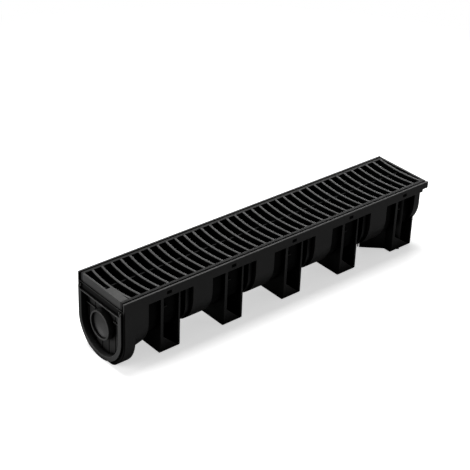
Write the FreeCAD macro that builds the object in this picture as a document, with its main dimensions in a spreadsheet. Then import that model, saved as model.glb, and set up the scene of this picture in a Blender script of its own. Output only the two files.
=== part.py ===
import FreeCAD, Part
import Sketcher
import math
import os
import sys

# Channel drain: a moulded trough body on five braced feet, an arc-barred
# grate seated between its rims and an end cap with a pipe socket.
# Every sub-part is drawn with X running along the channel from the capped
# end, Y across, Z up, the ground at Z = 0 and the rims' top at body_height;
# all three are then moved by half their overall length, so the origin is on
# the ground under the middle of the whole.

doc = FreeCAD.newDocument("channel_drain")
sheet = doc.addObject("Spreadsheet::Sheet", "Sheet")

VALUES = [
    # alias, value, note
    ("length", "1000", "length over the rims"),
    ("body_width", "185", "width over the rims"),
    ("body_height", "194", "ground to the top of the rims"),
    ("half_width", "=body_width / 2", "half the width over the rims"),
    ("wall", "3", "moulded wall thickness"),
    ("rim_width", "5.5", "width of the rim's top face"),
    ("rim_depth", "5", "depth of the thick part of the rim"),
    ("seat_drop", "22", "grate seat below the top"),
    ("skirt_drop", "=seat_drop + wall", "lower edge of the skirt below the top"),
    ("seat_height", "=body_height - seat_drop", "grate seat above ground"),
    ("skirt_height", "=body_height - skirt_drop", "skirt's lower edge above ground"),
    ("lug_drop", "18", "skirt depth past the far spigot"),
    ("trough_floor", "38.5", "underside of the trough above ground"),
    ("trough_half", "66", "half the trough's width beside the feet"),
    ("trough_axis", "=trough_floor + trough_half", "height of the trough's arc centre"),
    ("bay_axis", "=trough_floor + half_width", "height of the wide bay's arc centre"),
    ("collar_length", "32", "length of the deep collar at the capped end"),
    ("collar_axis", "81", "height of the collar's arc centre"),
    ("collar_round", "40", "softening of the collar's flat foot"),
    ("ramp_axis", "107", "arc centre where the ramp leaves the collar"),
    ("ramp_end", "70", "end of the first wide bay"),
    ("ramp_end_axis", "=bay_axis - 12", "arc centre at the end of the ramp"),
    ("foot_start", "118", "front face of the first foot"),
    ("foot_count", "5", "number of feet"),
    ("foot_tail", "42", "far end of the skirt past the last foot's pitch line"),
    ("foot_pitch", "=(length - foot_start - foot_length - foot_tail) / (foot_count - 1)", "spacing of the feet"),
    ("foot_length", "58", "length of a foot"),
    ("foot_half", "76", "half the width of a foot"),
    ("foot_more", "15", "extra length of the last foot"),
    ("foot_round", "8", "radius of a foot's lower corners"),
    ("gusset", "50", "height of a foot's side gusset at its front web"),
    ("front_strip", "8", "width of the strip along a foot's front web"),
    ("rear_strip", "5", "width of the strip along a foot's rear web"),
    ("sole", "3", "thickness of a foot's sole"),
    ("ledge_height", "127", "height of the short ledge behind a foot's front web"),
    ("ledge_length", "20", "length of the short ledge"),
    ("bay_after", "26", "gap from a foot to the next wide bay"),
    ("bay_before", "53", "gap from a wide bay to the next foot"),
    ("bay_length", "=foot_pitch - foot_length - bay_after - bay_before", "length of a wide bay"),
    ("step_length", "13", "length of the step before a wide bay"),
    ("step_half", "79.5", "half the width of the step before a wide bay"),
    ("step_axis", "=trough_floor + step_half", "height of the step's arc centre"),
    ("spigot_back", "18", "far spigot's end short of the skirts' end"),
    ("spigot_end", "=length - spigot_back", "end of the far spigot"),
    ("spigot_length", "20", "length of the far spigot"),
    ("spigot_half", "84", "half the width of the far spigot"),
    ("spigot_axis", "=trough_floor + spigot_half + 8", "height of the spigot's arc centre"),
    ("brace_lead", "50", "start of the slanting braces ahead of the last foot"),
    ("brace_run", "80", "length of the slanting braces along the channel"),
    ("brace_reach", "=foot_half - wall", "reach of the slanting braces across the channel"),
    ("window_offset", "5", "clip window from a foot's front face"),
    ("window_length", "14", "length of a clip window"),
    ("window_height", "9", "height of a clip window"),
    ("window_drop", "9", "top of a clip window below the top"),
    # end cap
    ("cap_half", "86", "half the width of the cap's flange"),
    ("cap_flange", "5", "thickness of the cap's flange"),
    ("cap_border", "11.5", "width of the cap's flange face"),
    ("cap_recess", "18", "depth of the cap's recess"),
    ("cap_top", "=body_height - 40", "top edge of the cap above ground"),
    ("cap_fit", "0.5", "clearance of the cap's plug in the end opening"),
    ("plug_half", "=cap_half - cap_border + wall", "half the width of the plug"),
    ("mouth_half", "=plug_half + cap_fit", "half the width of the end opening"),
    ("socket_outer", "37.5", "outer radius of the pipe socket"),
    ("socket_wall", "3.5", "wall of the pipe socket"),
    ("socket_height", "91", "height of the pipe socket's axis"),
    ("socket_depth", "12.5", "depth of the pipe socket to its closing disc"),
    ("score_pitch", "26.6", "spacing of the score lines"),
    ("score_width", "2.8", "width of a score line"),
    ("score_depth", "1.6", "depth of a score line"),
    ("cross_rib", "114", "height of the cap's cross rib"),
    ("socket_clear", "7", "room around the pipe socket for a pipe's own socket"),
    ("hook_width", "7", "width of a cap hook"),
    ("hook_height", "11", "height of a cap hook"),
    # grate
    ("grate_gap", "3", "gap between rim and grate"),
    ("grate_half", "=half_width - rim_width - grate_gap", "half the width of the grate"),
    ("grate_start", "2", "near end of the grate"),
    ("grate_end", "=length - 1", "far end of the grate"),
    ("grate_length", "=grate_end - grate_start", "length of the grate"),
    ("rail_width", "8.5", "width of a side rail"),
    ("end_rail", "5.5", "width of an end rail"),
    ("rail_inner", "=grate_half - rail_width", "half the clear width between rails"),
    ("bar_count", "36", "number of arc bars"),
    ("bar_first", "19.5", "front of the first bar at mid width"),
    ("bar_tail", "22.5", "front of the last bar short of the grate's far end"),
    ("bar_last", "=grate_end - bar_tail", "front of the last bar at mid width"),
    ("bar_span", "=bar_last - bar_first", "run of the bar pattern"),
    ("bar_width", "5.6", "width of a bar at its top"),
    ("bar_foot", "4.2", "width of a bar at its foot"),
    ("bar_depth", "18", "depth of a bar"),
    ("bar_sag", "7.5", "sag of a bar's arc"),
    ("bar_radius", "=(rail_inner * rail_inner + bar_sag * bar_sag) / (2 * bar_sag)", "radius of a bar's arc"),
    ("spine_width", "4.5", "width of the middle rib"),
    ("spine_drop", "4.5", "middle rib below the bar tops"),
    ("spine_depth", "10", "depth of the middle rib"),
    ("plate_depth", "4", "thickness of the end plate"),
    ("tab_fit", "0.8", "clearance of a clip tab in its window"),
    ("tab_hold", "2", "reach of a clip tab into the skirt"),
]
for row, (alias, value, note) in enumerate(VALUES, start=1):
    sheet.set("A%d" % row, note)
    sheet.set("B%d" % row, value)
    sheet.setAlias("B%d" % row, alias)
doc.recompute()


def ref(text):
    """Put the sheet's name before every alias in an expression."""
    out, word = "", ""
    for ch in text + " ":
        if ch.isalnum() or ch == "_":
            word += ch
            continue
        if word and not word[0].isdigit() and word not in ("deg", "mm", "asin", "sqrt", "tan", "cos", "sin", "atan"):
            word = "Sheet." + word
        out += word + ch
        word = ""
    return out.strip()


def number(text):
    """Present value of an expression, for a sketch's first drawing."""
    sheet.set("D1", "=" + text)
    sheet.recompute()
    return float(sheet.get("D1"))


def place(obj, x, y, z):
    obj.setExpression("Placement.Base.x", ref(x))
    obj.setExpression("Placement.Base.y", ref(y))
    obj.setExpression("Placement.Base.z", ref(z))
    return obj


def box(name, x, y, z, dx, dy, dz):
    b = doc.addObject("Part::Box", name)
    b.setExpression("Length", ref(dx))
    b.setExpression("Width", ref(dy))
    b.setExpression("Height", ref(dz))
    return place(b, x, y, z)


def rod(name, x, z, radius, run, half=False):
    """Cylinder along X on the middle plane, or its lower half."""
    c = doc.addObject("Part::Cylinder", name)
    turn = FreeCAD.Rotation(FreeCAD.Vector(0, 1, 0), 90)
    if half:
        turn = FreeCAD.Rotation(FreeCAD.Vector(1, 0, 0), -90).multiply(turn)
        c.Angle = 180
    c.Placement = FreeCAD.Placement(FreeCAD.Vector(), turn)
    c.setExpression("Radius", ref(radius))
    c.setExpression("Height", ref(run))
    return place(c, x, "0 * wall", z)


def fuse(name, items):
    if len(items) == 1:
        return items[0]
    f = doc.addObject("Part::MultiFuse", name)
    f.Shapes = items
    f.Refine = False
    return f


def cut(name, base, tool):
    c = doc.addObject("Part::Cut", name)
    c.Base = base
    c.Tool = tool
    c.Refine = True
    return c


def u_solid(name, x, run, half, axis, top):
    """U section on the middle plane: half circle below axis, square above."""
    return [box(name + "_sides", x, "-(%s)" % half, axis, run, "2 * (%s)" % half, "(%s) - (%s)" % (top, axis)),
            rod(name + "_arc", x, axis, half, run, True)]


def u_wire_feature(name, half, axis, top, x):
    """Closed U outline in a YZ plane, used for the ramp's loft."""
    sk = doc.addObject("Sketcher::SketchObject", name)
    sk.Placement = FreeCAD.Placement(FreeCAD.Vector(), FreeCAD.Rotation(FreeCAD.Vector(1, 1, 1), 120))
    V = FreeCAD.Vector
    h, a, t = number(half), number(axis), number(top)
    sk.addGeometry(Part.ArcOfCircle(Part.Circle(V(0, a, 0), V(0, 0, 1), h), math.pi, 2 * math.pi), False)
    sk.addGeometry(Part.LineSegment(V(h, a, 0), V(h, t, 0)), False)
    sk.addGeometry(Part.LineSegment(V(h, t, 0), V(-h, t, 0)), False)
    sk.addGeometry(Part.LineSegment(V(-h, t, 0), V(-h, a, 0)), False)
    C = Sketcher.Constraint
    sk.addConstraint(C("Coincident", 0, 2, 1, 1))
    sk.addConstraint(C("Coincident", 1, 2, 2, 1))
    sk.addConstraint(C("Coincident", 2, 2, 3, 1))
    sk.addConstraint(C("Coincident", 3, 2, 0, 1))
    sk.addConstraint(C("Vertical", 1))
    sk.addConstraint(C("Vertical", 3))
    sk.addConstraint(C("Horizontal", 2))
    sk.addConstraint(C("PointOnObject", 0, 3, -2))
    sk.addConstraint(C("Horizontal", 0, 1, 0, 3))
    sk.addConstraint(C("Horizontal", 0, 2, 0, 3))
    i = sk.addConstraint(C("Radius", 0, h)); sk.renameConstraint(i, "half")
    j = sk.addConstraint(C("DistanceY", -1, 1, 0, 3, a)); sk.renameConstraint(j, "axis")
    k = sk.addConstraint(C("DistanceY", -1, 1, 1, 2, t)); sk.renameConstraint(k, "top")
    sk.setExpression("Constraints.half", ref(half))
    sk.setExpression("Constraints.axis", ref(axis))
    sk.setExpression("Constraints.top", ref(top))
    sk.setExpression("Placement.Base.x", ref(x))
    return sk


def ramp(name, inset, stop):
    """Loft of the first wide bay between the deep collar and the trough."""
    a = u_wire_feature(name + "_near", "half_width - %s" % inset, "ramp_axis", "seat_height", "collar_length - wall")
    b = u_wire_feature(name + "_far", "half_width - %s" % inset, "ramp_end_axis", "seat_height", stop)
    lo = doc.addObject("Part::Loft", name)
    lo.Sections = [a, b]
    lo.Solid = True
    lo.Ruled = True
    return lo


# ---------------------------------------------------------------- body
FEET = int(number("foot_count"))
outer = []
outer += u_solid("trough", "ramp_end - wall", "spigot_end - ramp_end + wall", "trough_half", "trough_axis", "seat_height")
outer.append(ramp("ramp", "0", "ramp_end"))
outer += u_solid("spigot", "spigot_end - spigot_length", "spigot_length", "spigot_half", "spigot_axis", "seat_height")
outer.append(box("deck", "0 * wall", "-half_width", "skirt_height", "length", "body_width", "skirt_drop"))
for i in range(FEET):
    at = "foot_start + %d * foot_pitch" % i
    run = "foot_length + foot_more" if i == FEET - 1 else "foot_length"
    tag = "foot_%d" % (i + 1)
    blank = box(tag + "_blank", at, "-foot_half", "0 * wall", run, "2 * foot_half", "seat_height")
    doc.recompute()
    soft = doc.addObject("Part::Fillet", tag + "_soft")
    soft.Base = blank
    soft.Edges = [(n, number("foot_round"), number("foot_round")) for n, e in enumerate(blank.Shape.Edges, start=1)
                  if e.BoundBox.XLength > 1 and e.BoundBox.ZMax < 1]
    # hollow between the two webs; gussets close its lower sides
    core = box(tag + "_core", at + " + wall", "-(foot_half - wall)", "sole", run + " - 2 * wall",
               "2 * (foot_half - wall)", "body_height")
    sides = box(tag + "_sides", at + " + front_strip", "-half_width", "sole", run + " - front_strip - rear_strip",
                "body_width", "body_height")
    slope = doc.addObject("Part::Wedge", tag + "_slope")
    for key, text in (("Xmin", "0 * wall"), ("Xmax", run), ("X2min", "0 * wall"), ("X2max", "wall"),
                      ("Ymin", "0 * wall"), ("Ymax", "gusset"), ("Zmin", "0 * wall"), ("Zmax", "2 * body_width"),
                      ("Z2min", "0 * wall"), ("Z2max", "2 * body_width")):
        slope.setExpression(key, ref(text))
    slope.Placement = FreeCAD.Placement(FreeCAD.Vector(), FreeCAD.Rotation(FreeCAD.Vector(1, 0, 0), 90))
    place(slope, at, "body_width", "0 * wall")
    hollow = fuse(tag + "_hollow", [core, cut(tag + "_open", sides, slope)])
    outer.append(cut(tag, soft, hollow))
    outer.append(box(tag + "_ledge", at, "-(foot_half - wall)", "ledge_height", "ledge_length",
                     "2 * (foot_half - wall)", "wall"))
    if i < FEET - 1:
        bay_at = at + " + foot_length + bay_after"
        outer += u_solid("bay_%d" % (i + 1), bay_at, "bay_length", "half_width", "bay_axis", "seat_height")
        outer += u_solid("step_%d" % (i + 1), bay_at + " - step_length", "step_length + wall", "step_half",
                         "step_axis", "seat_height")

# deep collar behind the cap, cut flat where it stands on the ground
collar = fuse("collar_round", u_solid("collar", "0 * wall", "collar_length", "half_width", "collar_axis", "seat_height"))
ground = box("ground_clip", "-1 * wall", "-body_width", "-half_width", "length", "2 * body_width", "half_width")
collar_flat = cut("collar_flat", collar, ground)
doc.recompute()
soften = []
for n, e in enumerate(collar_flat.Shape.Edges, start=1):
    b = e.BoundBox
    if b.XLength > 1 and b.ZMax < 1 and b.YLength < 1 and abs(b.YMin) > 1:
        soften.append((n, number("collar_round"), number("collar_round")))
collar_soft = doc.addObject("Part::Fillet", "collar_soft")
collar_soft.Base = collar_flat
collar_soft.Edges = soften
outer.append(collar_soft)

# slanting braces that run from the last foot to the trough
for side, name in ((1, "left"), (-1, "right")):
    br = doc.addObject("Part::Box", "brace_" + name)
    br.setExpression("Length", ref("sqrt(brace_run * brace_run + brace_reach * brace_reach)"))
    br.setExpression("Width", ref("wall"))
    br.setExpression("Height", ref("skirt_height"))
    br.Placement = FreeCAD.Placement(FreeCAD.Vector(), FreeCAD.Rotation(FreeCAD.Vector(0, 0, side), 45))
    br.setExpression("Placement.Rotation.Angle", ref("atan(brace_reach / brace_run)"))
    br.setExpression("Placement.Base.x", ref("foot_start + (foot_count - 1) * foot_pitch - brace_lead"))
    if side < 0:
        br.setExpression("Placement.Base.y", ref("-wall"))
    outer.append(br)

inner = []
inner += u_solid("channel", "collar_length - wall", "length", "trough_half - wall", "trough_axis", "body_height + 1")
inner.append(ramp("ramp_void", "wall", "ramp_end - wall"))
inner += u_solid("spigot_void", "spigot_end - spigot_length + wall", "spigot_length", "spigot_half - wall", "spigot_axis", "seat_height")
for i in range(FEET - 1):
    at = "foot_start + %d * foot_pitch" % i
    inner += u_solid("bay_void_%d" % (i + 1), at + " + foot_length + bay_after + wall", "bay_length - 2 * wall",
                     "half_width - wall", "bay_axis", "seat_height + 1")
    inner += u_solid("step_void_%d" % (i + 1), at + " + foot_length + bay_after - step_length + wall", "step_length",
                     "step_half - wall", "step_axis", "seat_height + 1")
collar_void = fuse("collar_void_round", u_solid("collar_void", "wall", "collar_length - 2 * wall", "half_width - wall",
                                                "collar_axis", "seat_height + 1"))
sole_clip = box("sole_clip", "-1 * wall", "-body_width", "-half_width", "length", "2 * body_width", "half_width + sole")
inner.append(cut("collar_void_flat", collar_void, sole_clip))
# mouth for the cap's plug, with the end wall closed above it
inner += u_solid("mouth", "-1 * wall", "collar_length", "mouth_half", "cap_half", "cap_top + cap_fit")
# grate pocket between the rims
inner.append(box("grate_pocket", "-1 * wall", "-(half_width - wall)", "seat_height", "length + 2 * wall",
                 "2 * (half_width - wall)", "seat_drop - rim_depth"))
inner.append(box("rim_opening", "-1 * wall", "-(half_width - rim_width)", "seat_height", "length + 2 * wall",
                 "2 * (half_width - rim_width)", "seat_drop + wall"))
# clip windows
for i in range(FEET):
    inner.append(box("window_%d" % (i + 1), "foot_start + %d * foot_pitch + window_offset" % i, "-body_width",
                     "body_height - window_drop - window_height", "window_length", "2 * body_width", "window_height"))
# shallow skirt past the spigot
inner.append(box("lug_clip", "spigot_end", "-body_width", "-1 * wall", "length", "2 * body_width",
                 "body_height - lug_drop + wall"))

body = cut("body_cut", fuse("body_outer", outer), fuse("body_inner", inner))
body.Label = "channel_body"

# ---------------------------------------------------------------- end cap
cap_outer = u_solid("cap_flange_blank", "-cap_flange", "cap_flange", "cap_half", "cap_half", "cap_top")
cap_outer += u_solid("cap_plug_blank", "0 * wall", "cap_recess - cap_flange + wall", "plug_half", "cap_half", "cap_top")
cap_blank = fuse("cap_blank", cap_outer)
recess = fuse("cap_recess_tool", u_solid("cap_recess_blank", "-cap_flange - wall", "cap_recess + wall",
                                         "cap_half - cap_border", "cap_half", "cap_top - wall"))
cap_shell = cut("cap_shell", cap_blank, recess)
scores = []
for n, k in enumerate((-2.5, -1.5, -0.5, 0.5, 1.5, 2.5), start=1):
    scores.append(box("score_%d" % n, "cap_recess - cap_flange - wall", "%s * score_pitch - score_width / 2" % k, "wall",
                      "wall + score_depth", "score_width", "body_height"))
for s in scores:
    s.setExpression("Height", ref("cap_top - 2 * wall"))
room = rod("socket_room", "-cap_flange - wall", "socket_height", "socket_outer + socket_clear", "cap_recess + 3 * wall")
cap_scored = cut("cap_scored", cap_shell, cut("score_tool", fuse("score_bars", scores), room))
cross = box("cap_cross_bar", "cap_recess - cap_flange - 4", "-(plug_half - wall)", "cross_rib", "4 + wall / 2",
            "2 * (plug_half - wall)", "2.5 + 0 * wall")
parts = [cap_scored, cut("cap_cross", cross, room),
         rod("socket_tube", "-cap_flange", "socket_height", "socket_outer", "cap_recess + wall"),
         box("hook_left", "-cap_flange", "cap_half - hook_width", "cap_top - wall", "cap_flange", "hook_width", "hook_height"),
         box("hook_right", "-cap_flange", "-cap_half", "cap_top - wall", "cap_flange", "hook_width", "hook_height")]
bore = rod("socket_bore", "-cap_flange - wall", "socket_height", "socket_outer - socket_wall", "socket_depth + wall")
back = rod("socket_back", "socket_depth - cap_flange + wall", "socket_height", "socket_outer - socket_wall", "2 * cap_recess")
notch = [box("hook_slot_left", "-cap_flange - wall", "cap_half - hook_width - wall", "cap_top + 3", "cap_flange + 2 * wall",
             "hook_width", "3 + 0 * wall"),
         box("hook_slot_right", "-cap_flange - wall", "wall - cap_half", "cap_top + 3", "cap_flange + 2 * wall",
             "hook_width", "3 + 0 * wall")]
cap = cut("cap_cut", fuse("cap_solid", parts), fuse("cap_holes", [bore, back] + notch))
cap.Label = "end_cap"

# ---------------------------------------------------------------- grate
V = FreeCAD.Vector


def pd_sketch(bd, name, plane, x="0", y="0", z="0"):
    """Sketch on one of the grate body's own planes, moved by an offset."""
    sk = bd.newObject("Sketcher::SketchObject", name)
    sk.AttachmentSupport = (bd.Origin.OriginFeatures[{"XY": 3, "XZ": 4, "YZ": 5}[plane]], [""])
    sk.MapMode = "FlatFace"
    for axis, text in (("x", x), ("y", y), ("z", z)):
        if text != "0":
            sk.setExpression("AttachmentOffset.Base." + axis, ref(text))
    return sk


def add_rect(sk, tag, x0, y0, x1, y1):
    """Rectangle tied by four named distances from the sketch's origin."""
    left, low, right, high = number(x0), number(y0), number(x1), number(y1)
    n = sk.GeometryCount
    corners = (V(left, low, 0), V(right, low, 0), V(right, high, 0), V(left, high, 0))
    for k in range(4):
        sk.addGeometry(Part.LineSegment(corners[k], corners[(k + 1) % 4]), False)
    C = Sketcher.Constraint
    for k in range(4):
        sk.addConstraint(C("Coincident", n + k, 2, n + (k + 1) % 4, 1))
    for k, way in enumerate(("Horizontal", "Vertical", "Horizontal", "Vertical")):
        sk.addConstraint(C(way, n + k))
    for kind, geo, text, value, key in (("DistanceX", n, x0, left, "x0"), ("DistanceY", n, y0, low, "y0"),
                                        ("DistanceX", n + 2, x1, right, "x1"), ("DistanceY", n + 2, y1, high, "y1")):
        i = sk.addConstraint(C(kind, -1, 1, geo, 1, value))
        sk.renameConstraint(i, tag + key)
        sk.setExpression("Constraints." + tag + key, ref(text))


def pad(bd, name, sk, depth):
    p = bd.newObject("PartDesign::Pad", name)
    p.Profile = sk
    p.setExpression("Length", ref(depth))
    return p


grate = doc.addObject("PartDesign::Body", "grate_body")
grate.Label = "grate"
grate.setExpression("Placement.Base.z", ref("seat_height"))

frame = pd_sketch(grate, "grate_frame", "XY")
add_rect(frame, "o", "grate_start", "-grate_half", "grate_end", "grate_half")
add_rect(frame, "i", "grate_start + end_rail", "-rail_inner", "grate_end - end_rail", "rail_inner")
pad(grate, "frame_pad", frame, "seat_drop")

spine = pd_sketch(grate, "spine_outline", "XY", z="seat_drop - spine_drop - spine_depth")
add_rect(spine, "s", "grate_start + end_rail / 2", "-spine_width / 2", "grate_end - end_rail / 2", "spine_width / 2")
pad(grate, "spine_pad", spine, "spine_depth")

# end plate between the near rail and the first bar, on one half only
plate = pd_sketch(grate, "plate_outline", "XY", z="seat_drop - plate_depth")
add_rect(plate, "p", "grate_start + end_rail / 2", "-rail_inner - rail_width / 2", "bar_first + bar_width / 2 + 1", "-spine_width - 8")
pad(grate, "plate_pad", plate, "plate_depth")

# one arc bar: its tapered section is turned about the arc's own centre
section = pd_sketch(grate, "bar_section", "XZ", x="bar_first + bar_radius", y="seat_drop - bar_depth")
CORNERS = [("-bar_radius + (bar_width - bar_foot) / 2", "0 * wall"), ("-bar_radius + (bar_width + bar_foot) / 2", "0 * wall"),
           ("-bar_radius + bar_width", "bar_depth"), ("-bar_radius", "bar_depth")]
points = [V(number(x), number(y), 0) for x, y in CORNERS]
C = Sketcher.Constraint
for k in range(4):
    section.addGeometry(Part.LineSegment(points[k], points[(k + 1) % 4]), False)
for k in range(4):
    section.addConstraint(C("Coincident", k, 2, (k + 1) % 4, 1))
for k, (x, y) in enumerate(CORNERS):
    i = section.addConstraint(C("DistanceX", -1, 1, k, 1, points[k].x))
    section.renameConstraint(i, "x%d" % k)
    section.setExpression("Constraints.x%d" % k, ref(x))
    if k < 2:
        section.addConstraint(C("PointOnObject", k, 1, -1))
        continue
    i = section.addConstraint(C("DistanceY", -1, 1, k, 1, points[k].y))
    section.renameConstraint(i, "y%d" % k)
    section.setExpression("Constraints.y%d" % k, ref(y))
bar = grate.newObject("PartDesign::Revolution", "arc_bar")
bar.Profile = section
bar.ReferenceAxis = (section, ["V_Axis"])
bar.Midplane = True
bar.setExpression("Angle", ref("2 * asin((rail_inner + rail_width / 2) / bar_radius)"))
rows = grate.newObject("PartDesign::LinearPattern", "arc_bars")
rows.Originals = [bar]
rows.Direction = (grate.Origin.OriginFeatures[0], [""])
rows.setExpression("Length", ref("bar_span"))
rows.setExpression("Occurrences", ref("bar_count"))
grate.Tip = rows

# clip tabs that reach into the skirt's windows
tab = pd_sketch(grate, "tab_outline", "XY", z="seat_drop - window_drop - window_height + tab_fit")
add_rect(tab, "a", "foot_start + window_offset + tab_fit", "-(half_width - wall + tab_hold)",
         "foot_start + window_offset + window_length - tab_fit", "-(grate_half - rail_width / 2)")
add_rect(tab, "b", "foot_start + window_offset + tab_fit", "grate_half - rail_width / 2",
         "foot_start + window_offset + window_length - tab_fit", "half_width - wall + tab_hold")
tab_pad = pad(grate, "tab_pad", tab, "window_height - 2 * tab_fit")
tabs = grate.newObject("PartDesign::LinearPattern", "tabs")
tabs.Originals = [tab_pad]
tabs.Direction = (grate.Origin.OriginFeatures[0], [""])
tabs.setExpression("Length", ref("(foot_count - 1) * foot_pitch"))
tabs.setExpression("Occurrences", ref("foot_count"))
grate.Tip = tabs

# origin on the ground under the middle of the whole
for o in (body, cap, grate):
    o.setExpression("Placement.Base.x", ref("-(length - cap_flange) / 2"))
doc.recompute()

# ---------------------------------------------------------------- check and write
for o in doc.Objects:
    state = [str(s) for s in o.State]
    if "Invalid" in state or "Error" in state:
        print("STATE", o.Name, o.Label, state)
        sys.exit(1)

os.makedirs("parts", exist_ok=True)
for o in (body, grate, cap):
    s = o.Shape
    if s.isNull() or not s.isValid() or len(s.Solids) != 1 or s.Volume < 1000:
        print("BAD", o.Label, s.isNull(), s.isValid(), len(s.Solids))
        for q in s.Solids:
            b = q.BoundBox
            print("   %.0f  x %.1f..%.1f  y %.1f..%.1f  z %.1f..%.1f" % (q.Volume, b.XMin, b.XMax, b.YMin, b.YMax, b.ZMin, b.ZMax))
        sys.exit(1)
    bb = s.BoundBox
    print("%-14s volume %10.0f  x %.1f..%.1f  y %.1f..%.1f  z %.1f..%.1f  faces %d" % (
        o.Label, s.Volume, bb.XMin, bb.XMax, bb.YMin, bb.YMax, bb.ZMin, bb.ZMax, len(s.Faces)))
    s.exportStep("parts/%s.step" % o.Label)
print("written")
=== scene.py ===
import math

import bmesh
import bpy
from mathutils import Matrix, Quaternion, Vector


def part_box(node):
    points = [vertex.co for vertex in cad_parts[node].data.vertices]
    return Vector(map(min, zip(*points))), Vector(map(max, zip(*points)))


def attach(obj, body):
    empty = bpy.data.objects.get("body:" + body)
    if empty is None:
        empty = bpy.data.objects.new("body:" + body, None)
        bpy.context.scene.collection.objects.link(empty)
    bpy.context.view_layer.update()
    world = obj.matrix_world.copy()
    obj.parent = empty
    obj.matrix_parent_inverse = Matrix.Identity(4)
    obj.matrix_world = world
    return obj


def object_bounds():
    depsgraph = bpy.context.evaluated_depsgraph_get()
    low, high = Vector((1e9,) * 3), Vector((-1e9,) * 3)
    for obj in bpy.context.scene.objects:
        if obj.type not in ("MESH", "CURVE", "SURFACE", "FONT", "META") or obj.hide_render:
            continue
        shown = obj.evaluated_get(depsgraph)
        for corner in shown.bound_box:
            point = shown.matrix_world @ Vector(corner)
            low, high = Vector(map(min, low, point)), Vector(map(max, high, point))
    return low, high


bl_info = {
    "name": "Channel Drain",
    "version": (1, 0, 0),
    "blender": (4, 5, 0),
    "location": "View3D > Sidebar > Channel Drain",
    "description": "Finishes and lighting of a moulded channel drain with an arc-barred grate and an end cap",
    "category": "Object",
}

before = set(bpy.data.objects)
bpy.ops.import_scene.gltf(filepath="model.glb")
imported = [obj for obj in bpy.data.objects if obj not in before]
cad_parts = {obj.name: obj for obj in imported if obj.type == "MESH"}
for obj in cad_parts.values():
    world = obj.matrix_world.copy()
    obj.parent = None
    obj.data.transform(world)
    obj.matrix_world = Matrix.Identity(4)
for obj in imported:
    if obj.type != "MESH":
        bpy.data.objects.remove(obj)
CAD_LOW, CAD_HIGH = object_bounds()
MIDDLE = (CAD_LOW + CAD_HIGH) / 2
LENGTH = CAD_HIGH.x - CAD_LOW.x

# faces that the nodes' boxes give: the end wall above the cap, and the grate's seat, top and end
BODY_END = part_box("channel_body")[0].x
GRATE_LOW, GRATE_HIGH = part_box("grate")
SEAT = GRATE_LOW.z
CAP_LOW, CAP_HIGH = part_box("end_cap")

# half widths inside the grate and the body
MM = 0.001
RAIL_INSIDE = 75.5 * MM
GRATE_SIDE = 84 * MM
RIM_INSIDE = 87 * MM
# half widths between which the painted shade in the recesses comes on
RECESS_EDGE = 76 * MM
RECESS_DEEP = 70 * MM

# heights between which the painted shade in the recesses comes on
RECESS_FOOT = 60 * MM
RECESS_TOP = 95 * MM

# the end cap: its pipe stub, its plate with the score lines, its flange, and the catches over its corners
STUB_HEIGHT = 91 * MM
STUB_BORE = 34 * MM
STUB_FLOOR = CAP_LOW.x + 12.5 * MM
DISC_PLAY = 0.25 * MM
DISC_STAND = 0.3 * MM
DISC_BACK = 0.2 * MM
PLATE = CAP_LOW.x + 16 * MM
SCORE_PITCH = 26.6 * MM
SCORE_FRONT = CAP_LOW.x + 17.4 * MM
SCORE_BACK = CAP_LOW.x + 19.9 * MM
# heights across the cap between which the painted shade on its flange comes on
FLANGE_LIT = 50 * MM
FLANGE_SHADED = 80 * MM
CATCH_FRONT = BODY_END - 3.6 * MM
CATCH_SIDE = CAP_HIGH.y - 5.5 * MM
CATCH_FOOT = CAP_HIGH.z - 1 * MM
CAP_SLOT = "cap_plastic"


# ------------------------------------------------------------------ settings
class ChannelDrainFinish(bpy.types.PropertyGroup):
    """Colours and surface of the mouldings."""

    body_colour: bpy.props.FloatVectorProperty(
        name="Body colour", description="Plastic of the trough body",
        subtype="COLOR", size=3, min=0.0, max=1.0, default=(0.0125, 0.0125, 0.0123))
    grate_colour: bpy.props.FloatVectorProperty(
        name="Grate colour", description="Plastic of the grate",
        subtype="COLOR", size=3, min=0.0, max=1.0, default=(0.014, 0.014, 0.0138))
    cap_colour: bpy.props.FloatVectorProperty(
        name="Cap colour", description="Plastic of the end cap",
        subtype="COLOR", size=3, min=0.0, max=1.0, default=(0.014, 0.014, 0.0138))
    roughness: bpy.props.FloatProperty(
        name="Roughness", description="Roughness of the moulded skin",
        subtype="FACTOR", min=0.0, max=1.0, default=0.4)
    gloss: bpy.props.FloatProperty(
        name="Gloss", description="Strength of the moulded skin's sheen",
        subtype="FACTOR", min=0.0, max=1.0, default=0.34)
    grain: bpy.props.FloatProperty(
        name="Grain", description="Size of the mould's fine texture",
        subtype="DISTANCE", unit="LENGTH", min=0.0001, max=0.01, default=0.0009)
    edge: bpy.props.FloatProperty(
        name="Edge radius", description="Radius of the mouldings' outer edges",
        subtype="DISTANCE", unit="LENGTH", min=0.0, max=0.005, default=0.0008)
    # painted shade in the creases reaches this far from a corner
    crease: bpy.props.FloatProperty(
        name="Crease reach", description="How far from a corner the darker creases reach",
        subtype="DISTANCE", unit="LENGTH", min=0.0, max=0.1, default=0.009)
    dish: bpy.props.FloatProperty(
        name="Dish", description="Depth of the hollow in the pipe stub's closing disc",
        subtype="DISTANCE", unit="LENGTH", min=0.0001, max=0.01, default=0.0055)


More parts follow.
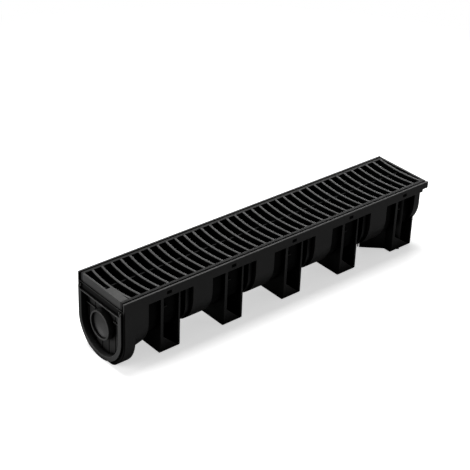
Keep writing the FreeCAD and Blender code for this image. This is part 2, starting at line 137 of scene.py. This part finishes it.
class ChannelDrainStage(bpy.types.PropertyGroup):
    """Floor, lamps and camera."""

    floor_colour: bpy.props.FloatVectorProperty(
        name="Floor colour", description="Colour of the studio floor",
        subtype="COLOR", size=3, min=0.0, max=1.0, default=(0.86, 0.86, 0.86))
    floor_lift: bpy.props.FloatProperty(
        name="Floor lift", description="White that the camera alone sees added to the floor",
        subtype="FACTOR", min=0.0, max=1.0, default=0.55)
    key_power: bpy.props.FloatProperty(
        name="Key lamp", description="Power of the large lamp above the channel, which the others follow",
        unit="POWER", min=0.0, max=5000.0, default=60.0)
    sky_strength: bpy.props.FloatProperty(
        name="Sky", description="Brightness of the light from all round",
        min=0.0, max=5.0, default=0.22)
    lens: bpy.props.FloatProperty(
        name="Lens", description="Focal length on a 36 mm sensor",
        subtype="DISTANCE_CAMERA", unit="CAMERA", min=20.0, max=300.0, default=106.75)
    azimuth: bpy.props.FloatProperty(
        name="Azimuth", description="Side that the camera looks from, 0 being along +Y",
        subtype="ANGLE", unit="ROTATION", default=math.radians(-40.909))
    elevation: bpy.props.FloatProperty(
        name="Elevation", description="How steeply the camera looks down",
        subtype="ANGLE", unit="ROTATION", default=math.radians(30.547))
    roll: bpy.props.FloatProperty(
        name="Roll", description="Turn of the camera about its own axis",
        subtype="ANGLE", unit="ROTATION", default=math.radians(2.26))
    distance: bpy.props.FloatProperty(
        name="Distance", description="From the camera to the point it looks at",
        subtype="DISTANCE", unit="LENGTH", min=0.5, max=20.0, default=3.6245)
    target: bpy.props.FloatVectorProperty(
        name="Target", description="Point that the camera looks at",
        subtype="TRANSLATION", unit="LENGTH", size=3, default=(0.0066, 0.1148, 0.104))


# ------------------------------------------------------------------ nodes
# the node editor's cells: how many stand in a row, and how far apart
ROW = 8
CELL = Vector((220, -340))


def node(tree, kind, **values):
    """A new node in the next free cell of the editor, with its plain properties set."""
    n = tree.nodes.new(kind)
    row, column = divmod(len(tree.nodes) - 1, ROW)
    n.location = (column * CELL.x, row * CELL.y)
    for key, value in values.items():
        setattr(n, key, value)
    return n


def feed(tree, socket, value):
    """Link a socket to another node's output, or give it a plain value."""
    if isinstance(value, bpy.types.NodeSocket):
        tree.links.new(value, socket)
    else:
        socket.default_value = value


def fresh_tree(owner):
    """The empty node tree of a material or world."""
    owner.use_nodes = True
    owner.node_tree.nodes.clear()
    return owner.node_tree


def ramp(tree, source, *stops):
    """A grey ramp between two stops, each a position and a grey."""
    r = node(tree, "ShaderNodeValToRGB")
    for stop, (position, grey) in zip(r.color_ramp.elements, stops):
        stop.position, stop.color = position, (grey, grey, grey, 1)
    feed(tree, r.inputs["Fac"], source)
    return r.outputs["Color"]


def span(tree, source, low, high, start, end, kind="LINEAR"):
    """The source carried from the range low to high onto the range start to end."""
    step = node(tree, "ShaderNodeMapRange", interpolation_type=kind)
    limits = (("From Min", low), ("From Max", high), ("To Min", start), ("To Max", end))
    for key, value in (("Value", source), *limits):
        feed(tree, step.inputs[key], value)
    return step.outputs["Result"]


def fade(tree, source, none, full):
    """A smooth step from 0 at none to 1 at full; either may be the larger."""
    if none < full:
        return span(tree, source, none, full, 0.0, 1.0, "SMOOTHSTEP")
    return span(tree, source, full, none, 1.0, 0.0, "SMOOTHSTEP")


def combine(tree, operation, a, b=0.0):
    """Two masks or numbers joined by a maths operation."""
    n = node(tree, "ShaderNodeMath", operation=operation)
    feed(tree, n.inputs[0], a)
    feed(tree, n.inputs[1], b)
    return n.outputs["Value"]


def product(tree, first, *others):
    """All the masks multiplied together."""
    for mask in others:
        first = combine(tree, "MULTIPLY", first, mask)
    return first


def without(tree, mask, share):
    """1 where the mask is empty, less the given share where it is full."""
    return combine(tree, "SUBTRACT", 1.0, combine(tree, "MULTIPLY", mask, share))


def mix(tree, a, b, factor, blend="MIX"):
    """Two colours mixed by a factor."""
    n = node(tree, "ShaderNodeMix", data_type="RGBA", blend_type=blend)
    for key, value in (("A", a), ("B", b), ("Factor", factor)):
        feed(tree, n.inputs[key], value)
    return n.outputs["Result"]


def noise(tree, place, scale, detail, roughness=0.5):
    """Cloudy noise at a place."""
    n = node(tree, "ShaderNodeTexNoise")
    for key, value in (("Vector", place), ("Scale", scale), ("Detail", detail), ("Roughness", roughness)):
        feed(tree, n.inputs[key], value)
    return n.outputs["Fac"]


def stretched(tree, place, scale, turn=(0.0, 0.0, 0.0)):
    """A place scaled and turned, which draws a texture out along the axes of small scale."""
    n = node(tree, "ShaderNodeMapping")
    for key, value in (("Vector", place), ("Scale", scale), ("Rotation", turn)):
        feed(tree, n.inputs[key], value)
    return n.outputs["Vector"]


def bump(tree, height, normal, strength, distance, invert=False):
    """Small relief laid on a normal."""
    n = node(tree, "ShaderNodeBump", invert=invert)
    sizes = (("Strength", strength), ("Distance", distance))
    for key, value in (("Height", height), ("Normal", normal), *sizes):
        feed(tree, n.inputs[key], value)
    return n.outputs["Normal"]


def tint(colour, times, added=(0.0, 0.0, 0.0)):
    """A colour multiplied and lifted, with its alpha."""
    return (*(Vector(colour) * times + Vector(added)), 1)


# ------------------------------------------------------------------ where shade is painted, and where grime gathers
# Each mask takes the tree and the sockets of a place's X, Y and Z, and is 1 where the painted shade or the
# grime is.
def half_width(tree, spot):
    """Distance from the upright plane through the channel's middle."""
    return combine(tree, "ABSOLUTE", spot["Y"])


def end_shade(tree, spot):
    """Painted shade in the corner between the grate's end and the cap's top."""
    low = fade(tree, spot["Z"], SEAT + 9 * MM, SEAT - 6 * MM)
    front = fade(tree, spot["X"], BODY_END + 4 * MM, BODY_END + 2 * MM)
    return product(tree, low, front)


def rail_dirt(tree, spot):
    """Road grime that stays on the grate's long rails, outside the bars."""
    rail = fade(tree, half_width(tree, spot), RAIL_INSIDE - 0.6 * MM, RAIL_INSIDE + 0.6 * MM)
    return product(tree, rail, 0.8)


def sunk_shade(tree, spot):
    """Painted shade on everything of the grate that lies below its top, its end face apart."""
    below = fade(tree, spot["Z"], GRATE_HIGH.z - 0.5 * MM, GRATE_HIGH.z - 1.8 * MM)
    inside = fade(tree, spot["X"], GRATE_LOW.x + 4 * MM, GRATE_LOW.x + 6 * MM)
    return product(tree, below, inside)


def gap_shade(tree, spot):
    """Painted shade along the gap between the grate's rails and the rims."""
    side = half_width(tree, spot)
    rail = fade(tree, side, GRATE_SIDE - 2.2 * MM, GRATE_SIDE - 1.4 * MM)
    rim = fade(tree, side, RIM_INSIDE + 1.5 * MM, RIM_INSIDE + 0.8 * MM)
    top = fade(tree, spot["Z"], SEAT - 2 * MM, SEAT)
    return product(tree, rail, rim, top)


def recess_shade(tree, spot):
    """Painted shade on the trough's wall between the feet's webs and inside their pockets."""
    deep = fade(tree, half_width(tree, spot), RECESS_EDGE, RECESS_DEEP)
    high = fade(tree, spot["Z"], RECESS_FOOT, RECESS_TOP)
    inside = fade(tree, spot["X"], BODY_END + 4 * MM, BODY_END + 8 * MM)
    return product(tree, deep, high, inside)


def score_shade(tree, spot):
    """Painted shade in the score lines of the end cap's plate."""
    half_pitch = SCORE_PITCH / 2
    away = combine(tree, "PINGPONG", half_width(tree, spot), half_pitch)
    line = fade(tree, away, half_pitch - 2.1 * MM, half_pitch - 1.2 * MM)
    front = fade(tree, spot["X"], SCORE_FRONT - 0.8 * MM, SCORE_FRONT)
    back = fade(tree, spot["X"], SCORE_BACK + 0.7 * MM, SCORE_BACK)
    return product(tree, line, front, back)


def plate_shade(tree, spot):
    """Painted shade on the end cap's recessed plate and on the far side of its flange."""
    plate = fade(tree, spot["X"], PLATE - 4 * MM, PLATE)
    flange = fade(tree, spot["Y"], FLANGE_LIT, FLANGE_SHADED)
    return product(tree, combine(tree, "MAXIMUM", plate, flange), 0.5)


# ------------------------------------------------------------------ materials
def rounded_edge_band(tree, surface, rounded):
    """1 on outer edges, where the rounded normal leaves the flat one."""
    turn = node(tree, "ShaderNodeVectorMath", operation="DOT_PRODUCT")
    feed(tree, turn.inputs[0], rounded)
    feed(tree, turn.inputs[1], surface["Normal"])
    return ramp(tree, turn.outputs["Value"], (0.72, 1.0), (0.99, 0.0))


def settled_dust(tree, surface, flow):
    """Patchy dust on what faces up."""
    facing = node(tree, "ShaderNodeSeparateXYZ")
    feed(tree, facing.inputs["Vector"], surface["Normal"])
    upward = ramp(tree, facing.outputs["Z"], (0.55, 0.0), (0.98, 1.0))
    specks = ramp(tree, flow, (0.38, 0.35), (0.68, 1.0))
    return mix(tree, upward, specks, 1.0, "MULTIPLY")


def openness(tree, reach, closed, free):
    """Painted shade: dark where walls stand within reach of each other, by the ramp's stops closed and free.
    """
    around = node(tree, "ShaderNodeAmbientOcclusion", samples=8)
    around.inputs["Distance"].default_value = reach
    return ramp(tree, around.outputs["AO"], closed, free)


def handling_scratches(tree, surface):
    """Long thin scratches, 1 on each line."""
    drawn_out = stretched(tree, surface["Position"], (12.0, 420.0, 420.0), (0.0, 0.2, 0.35))
    return ramp(tree, noise(tree, drawn_out, 1.0, 2.0), (0.66, 0.0), (0.74, 1.0))


def lit_and_clean_share(tree, surface, finish, hollow, shade_and_dirt):
    """1 on open faces; less in creases and in hollows of the given reach, where shade is painted, and under
    the masks, which paint shade or lay rail grime.
    """
    lit_and_clean = openness(tree, finish.crease, (0.42, 0.03), (0.9, 1.0))
    if hollow:
        lit_and_clean = product(tree, lit_and_clean, openness(tree, hollow, (0.4, 0.06), (0.88, 1.0)))
    split = node(tree, "ShaderNodeSeparateXYZ")
    feed(tree, split.inputs["Vector"], surface["Position"])
    for mask in shade_and_dirt:
        lit_and_clean = product(tree, lit_and_clean, without(tree, mask(tree, split.outputs), 0.85))
    return lit_and_clean


def moulded_plastic(name, colour, finish, stretch, shade_and_dirt, hollow=None, lit_edges=True):
    """Black polypropylene: grain, flow marks drawn out by stretch, dust, edges worn and lit by a painted
    highlight, painted shade and grime.
    """
    mat = bpy.data.materials.new(name)
    tree = fresh_tree(mat)
    surface = node(tree, "ShaderNodeNewGeometry").outputs
    position = surface["Position"]
    soft = node(tree, "ShaderNodeBevel", samples=6)
    soft.inputs["Radius"].default_value = finish.edge * 1.6
    rounded = soft.outputs["Normal"]
    flow = noise(tree, stretched(tree, position, stretch), 9.0, 5.0, 0.6)
    edge_band = rounded_edge_band(tree, surface, rounded)

    # colour: flow marks, then dust, the edges' wear and painted highlight, and the painted shade and grime
    # over them
    lit_and_clean = lit_and_clean_share(tree, surface, finish, hollow, shade_and_dirt)
    shade = mix(tree, tint(colour, 0.8), tint(colour, 1.35), flow)
    shade = mix(tree, shade, tint(colour, 2.6, (0.004, 0.0038, 0.0034)), settled_dust(tree, surface, flow))
    if lit_edges:
        # lighter rounded edges in patches: wear, and a painted highlight along the edges
        patch = ramp(tree, noise(tree, position, 60.0, 4.0), (0.35, 0.25), (0.7, 1.0))
        wear_and_highlight = mix(tree, edge_band, patch, 1.0, "MULTIPLY")
        shade = mix(tree, shade, tint(colour, 6.0, (0.012, 0.012, 0.0115)), wear_and_highlight)
    else:
        # a thin bar's edges get painted shade instead
        lit_and_clean = product(tree, lit_and_clean, without(tree, edge_band, 0.8))
    shade = mix(tree, shade, lit_and_clean, 1.0, "MULTIPLY")

    # relief: the mould's grain, then scratches cut into it
    grain = noise(tree, position, 1.0 / finish.grain, 3.0)
    relief = bump(tree, grain, rounded, 0.35, 0.15 * MM)
    relief = bump(tree, handling_scratches(tree, surface), relief, 0.25, 0.1 * MM, invert=True)

    skin = node(tree, "ShaderNodeBsdfPrincipled")
    skin.inputs["IOR"].default_value = 1.49
    feed(tree, skin.inputs["Base Color"], shade)
    feed(tree, skin.inputs["Normal"], relief)
    # the painted shade and the rail grime also dim the sheen
    feed(tree, skin.inputs["Specular IOR Level"], product(tree, lit_and_clean, finish.gloss))
    feed(tree, skin.inputs["Roughness"],
         span(tree, flow, 0.3, 0.7, finish.roughness - 0.07, finish.roughness + 0.1))
    out = node(tree, "ShaderNodeOutputMaterial")
    feed(tree, out.inputs["Surface"], skin.outputs["BSDF"])
    return mat


def studio_floor(colour, lift):
    """Matt pale floor, lighter to the camera than to the object, and white far away."""
    mat = bpy.data.materials.new("studio_floor")
    tree = fresh_tree(mat)
    camera_ray = node(tree, "ShaderNodeLightPath").outputs["Is Camera Ray"]

    # near the object: a faint mottle, dim for every ray but the camera's
    cloud = node(tree, "ShaderNodeTexNoise")
    cloud.inputs["Scale"].default_value = 2.0
    mottle = mix(tree, tint(colour, 0.985), tint(colour, 1.0), cloud.outputs["Fac"])
    matt = node(tree, "ShaderNodeBsdfDiffuse")
    feed(tree, matt.inputs["Color"], mix(tree, tint(colour, 0.25), mottle, camera_ray))
    glow = node(tree, "ShaderNodeEmission")
    glow.inputs["Color"].default_value = (lift, lift, lift, 1)
    feed(tree, glow.inputs["Strength"], camera_ray)
    near = node(tree, "ShaderNodeAddShader")
    feed(tree, near.inputs[0], matt.outputs["BSDF"])
    feed(tree, near.inputs[1], glow.outputs["Emission"])

    # one to two lengths away: plain white to the camera
    reach = node(tree, "ShaderNodeVectorMath", operation="LENGTH")
    feed(tree, reach.inputs[0], node(tree, "ShaderNodeNewGeometry").outputs["Position"])
    far = fade(tree, reach.outputs["Value"], LENGTH, 2 * LENGTH)
    white = node(tree, "ShaderNodeEmission")
    whole = node(tree, "ShaderNodeMixShader")
    feed(tree, whole.inputs["Fac"], product(tree, far, camera_ray))
    feed(tree, whole.inputs[1], near.outputs["Shader"])
    feed(tree, whole.inputs[2], white.outputs["Emission"])
    out = node(tree, "ShaderNodeOutputMaterial")
    feed(tree, out.inputs["Surface"], whole.outputs["Shader"])
    return mat


# ------------------------------------------------------------------ pieces
def dress(name, material):
    """Give a CAD node its finish."""
    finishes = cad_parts[name].data.materials
    finishes.clear()
    finishes.append(material)


def add_piece(name, mesh):
    """A new object in the scene, made from a bmesh."""
    data = bpy.data.meshes.new(name)
    mesh.to_mesh(data)
    mesh.free()
    piece = bpy.data.objects.new(name, data)
    bpy.context.scene.collection.objects.link(piece)
    return piece


def fix_to_cap(piece):
    """Give a small piece the end cap's finish, and let it ride with the drain."""
    piece.data.materials.append(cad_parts["end_cap"].data.materials[0])
    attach(piece, "root")


class CHANNELDRAIN_OT_channel_body(bpy.types.Operator):
    """Finish the trough body"""

    bl_idname = "channeldrain.channel_body"
    bl_label = "Channel body"

    def execute(self, context):
        finish = context.scene.channel_drain_finish
        dress("channel_body", moulded_plastic(
            "body_plastic", finish.body_colour, finish, stretch=(0.25, 1.0, 1.0),
            shade_and_dirt=[end_shade, gap_shade, recess_shade], hollow=60 * MM))
        return {"FINISHED"}


class CHANNELDRAIN_OT_grate(bpy.types.Operator):
    """Finish the grate"""

    bl_idname = "channeldrain.grate"
    bl_label = "Grate"

    def execute(self, context):
        finish = context.scene.channel_drain_finish
        dress("grate", moulded_plastic(
            "grate_plastic", finish.grate_colour, finish, stretch=(1.0, 1.0, 1.0),
            shade_and_dirt=[end_shade, gap_shade, rail_dirt, sunk_shade], lit_edges=False))
        return {"FINISHED"}


class CHANNELDRAIN_OT_end_cap(bpy.types.Operator):
    """Finish the end cap"""

    bl_idname = "channeldrain.end_cap"
    bl_label = "End cap"

    def execute(self, context):
        finish = context.scene.channel_drain_finish
        dress("end_cap", moulded_plastic(
            CAP_SLOT, finish.cap_colour, finish, stretch=(1.0, 1.0, 0.4),
            shade_and_dirt=[score_shade, plate_shade], hollow=25 * MM))
        return {"FINISHED"}


def dished_disc(name, radius, dish, back, rings=14, steps=96):
    """A round plate on the X axis, dished to the origin on its -X face, its back at x = back."""
    curve = (radius * radius + dish * dish) / (2 * dish)
    radii = [radius * i / rings for i in range(rings + 1)]
    path = [(curve * (math.cos(math.asin(r / curve)) - 1), r) for r in radii]
    path += [(back, radius), (back, 0)]
    mesh = bmesh.new()
    points = [mesh.verts.new((x, 0, r)) for x, r in path]
    edges = [mesh.edges.new(pair) for pair in zip(points, points[1:])]
    bmesh.ops.spin(mesh, geom=points + edges, cent=(0, 0, 0), axis=(1, 0, 0),
                   angle=2 * math.pi, steps=steps)
    bmesh.ops.remove_doubles(mesh, verts=mesh.verts, dist=0.01 * MM)
    bmesh.ops.recalc_face_normals(mesh, faces=mesh.faces)
    for face in mesh.faces:
        face.smooth = True
    piece = add_piece(name, mesh)
    piece.data.set_sharp_from_angle(angle=math.radians(35))
    return piece


class CHANNELDRAIN_OT_stub_disc(bpy.types.Operator):
    """Close the pipe stub with its dished disc"""

    bl_idname = "channeldrain.stub_disc"
    bl_label = "Stub disc"

    def execute(self, context):
        finish = context.scene.channel_drain_finish
        piece = dished_disc("stub_disc", STUB_BORE - DISC_PLAY, finish.dish, DISC_BACK)
        piece.location = (STUB_FLOOR - DISC_STAND, 0, STUB_HEIGHT)
        fix_to_cap(piece)
        return {"FINISHED"}


def latch(name, side):
    """A small forked catch that stands over the cap's top corner, its fork open upwards."""
    wide, tall, deep, slot_wide, slot_deep = 9 * MM, 7 * MM, 4.2 * MM, 3.4 * MM, 5 * MM
    prong = [(wide / 2, 0), (wide / 2, tall), (slot_wide / 2, tall), (slot_wide / 2, tall - slot_deep)]
    outline = prong + [(-y, z) for y, z in reversed(prong)]
    mesh = bmesh.new()
    face = mesh.faces.new([mesh.verts.new((0, y, z)) for y, z in outline])
    grown = bmesh.ops.extrude_face_region(mesh, geom=[face])
    moved = [v for v in grown["geom"] if isinstance(v, bmesh.types.BMVert)]
    bmesh.ops.translate(mesh, verts=moved, vec=(deep, 0, 0))
    bmesh.ops.recalc_face_normals(mesh, faces=mesh.faces)
    piece = add_piece(name, mesh)
    piece.location = (CATCH_FRONT, side * CATCH_SIDE, CATCH_FOOT)
    edges = piece.modifiers.new("edges", "BEVEL")
    edges.width = 0.6 * MM
    edges.segments = 3
    edges.limit_method = "ANGLE"
    return piece


class CHANNELDRAIN_OT_latches(bpy.types.Operator):
    """Put the two catches over the end cap's top corners"""

    bl_idname = "channeldrain.latches"
    bl_label = "Latches"

    def execute(self, context):
        for name, side in (("latch_left", 1), ("latch_right", -1)):
            fix_to_cap(latch(name, side))
        return {"FINISHED"}


# ------------------------------------------------------------------ stage
# each lamp's name, place, target, width, height and share of the key lamp's power
LAMPS = (
    ("key", (0.0, 0.5, 2.3), MIDDLE, 1.6, 1.2, 1.0),
    ("end_card", (CAD_LOW.x - 1.5, 0.7, 0.3), (CAD_LOW.x, 0.0, 0.1), 1.6, 0.6, 0.72),
    ("back", (1.5, 1.75, 1.35), MIDDLE, 2.2, 1.2, 0.12),
    ("far_fill", (2.4, 2.2, 0.4), MIDDLE, 2.0, 0.7, 0.45),
)


def lamp(name, place, target, width, height, power):
    """An oblong area lamp at a place, turned to its target."""
    light = bpy.data.lights.new(name, "AREA")
    light.shape = "RECTANGLE"
    light.size = width
    light.size_y = height
    light.energy = power
    obj = bpy.data.objects.new(name, light)
    obj.location = place
    obj.rotation_mode = "QUATERNION"
    obj.rotation_quaternion = (Vector(target) - obj.location).to_track_quat("-Z", "Y")
    bpy.context.scene.collection.objects.link(obj)


def lay_floor(stage):
    """The plain floor just below the feet."""
    reach = 30 * LENGTH
    corners = [(-reach, -reach, 0), (reach, -reach, 0), (reach, reach, 0), (-reach, reach, 0)]
    mesh = bpy.data.meshes.new("floor")
    mesh.from_pydata(corners, [], [(0, 1, 2, 3)])
    mesh.materials.append(studio_floor(stage.floor_colour, stage.floor_lift))
    floor = bpy.data.objects.new("floor", mesh)
    floor.location.z = CAD_LOW.z - 0.3 * MM
    bpy.context.scene.collection.objects.link(floor)


def light_sky(stage):
    """Even light from all round, which the camera sees as plain white."""
    world = bpy.data.worlds.new("studio")
    tree = fresh_tree(world)
    choose = node(tree, "ShaderNodeMixShader")
    feed(tree, choose.inputs["Fac"], node(tree, "ShaderNodeLightPath").outputs["Is Camera Ray"])
    for socket, strength in ((choose.inputs[1], stage.sky_strength), (choose.inputs[2], 1.0)):
        light = node(tree, "ShaderNodeBackground")
        light.inputs["Color"].default_value = (1, 1, 1, 1)
        light.inputs["Strength"].default_value = strength
        feed(tree, socket, light.outputs["Background"])
    out = node(tree, "ShaderNodeOutputWorld")
    feed(tree, out.inputs["Surface"], choose.outputs["Shader"])
    bpy.context.scene.world = world


def place_camera(stage):
    """The camera at its distance from the target, rolled a little."""
    camera = bpy.data.cameras.new("camera")
    camera.lens = stage.lens
    camera.sensor_width = 36.0
    camera.clip_start, camera.clip_end = 0.05, 200
    level = math.cos(stage.elevation)
    back = Vector((math.sin(stage.azimuth) * level, -math.cos(stage.azimuth) * level,
                   math.sin(stage.elevation)))
    eye = bpy.data.objects.new("camera", camera)
    eye.location = Vector(stage.target) + back * stage.distance
    eye.rotation_mode = "QUATERNION"
    eye.rotation_quaternion = (-back).to_track_quat("-Z", "Y") @ Quaternion((0, 0, 1), stage.roll)
    bpy.context.scene.collection.objects.link(eye)
    bpy.context.scene.camera = eye


class CHANNELDRAIN_OT_stage(bpy.types.Operator):
    """Build the floor, the lamps and the camera"""

    bl_idname = "channeldrain.stage"
    bl_label = "Stage"

    def execute(self, context):
        stage = context.scene.channel_drain_stage
        lay_floor(stage)
        light_sky(stage)
        for name, place, target, width, height, share in LAMPS:
            lamp(name, place, target, width, height, stage.key_power * share)
        place_camera(stage)
        context.scene.view_settings.view_transform = "Standard"
        return {"FINISHED"}


# ------------------------------------------------------------------ panel
OPERATORS = (CHANNELDRAIN_OT_channel_body, CHANNELDRAIN_OT_grate, CHANNELDRAIN_OT_end_cap,
             CHANNELDRAIN_OT_stub_disc, CHANNELDRAIN_OT_latches, CHANNELDRAIN_OT_stage)


class CHANNELDRAIN_PT_panel(bpy.types.Panel):
    """Channel drain pieces and settings"""

    bl_idname = "CHANNELDRAIN_PT_panel"
    bl_label = "Channel Drain"
    bl_space_type = "VIEW_3D"
    bl_region_type = "UI"
    bl_category = "Channel Drain"

    def draw(self, context):
        for settings in (context.scene.channel_drain_finish, context.scene.channel_drain_stage):
            box = self.layout.box()
            for key in settings.__annotations__:
                box.prop(settings, key)
        for operator in OPERATORS:
            self.layout.operator(operator.bl_idname)


CLASSES = (ChannelDrainFinish, ChannelDrainStage, *OPERATORS, CHANNELDRAIN_PT_panel)


def register():
    for cls in CLASSES:
        bpy.utils.register_class(cls)
    bpy.types.Scene.channel_drain_finish = bpy.props.PointerProperty(type=ChannelDrainFinish)
    bpy.types.Scene.channel_drain_stage = bpy.props.PointerProperty(type=ChannelDrainStage)


def unregister():
    del bpy.types.Scene.channel_drain_finish
    del bpy.types.Scene.channel_drain_stage
    for cls in reversed(CLASSES):
        bpy.utils.unregister_class(cls)


def main():
    register()
    bpy.ops.channeldrain.channel_body()
    bpy.ops.channeldrain.grate()
    bpy.ops.channeldrain.end_cap()
    bpy.ops.channeldrain.stub_disc()
    bpy.ops.channeldrain.latches()
    bpy.ops.channeldrain.stage()


if __name__ == "__main__":
    main()
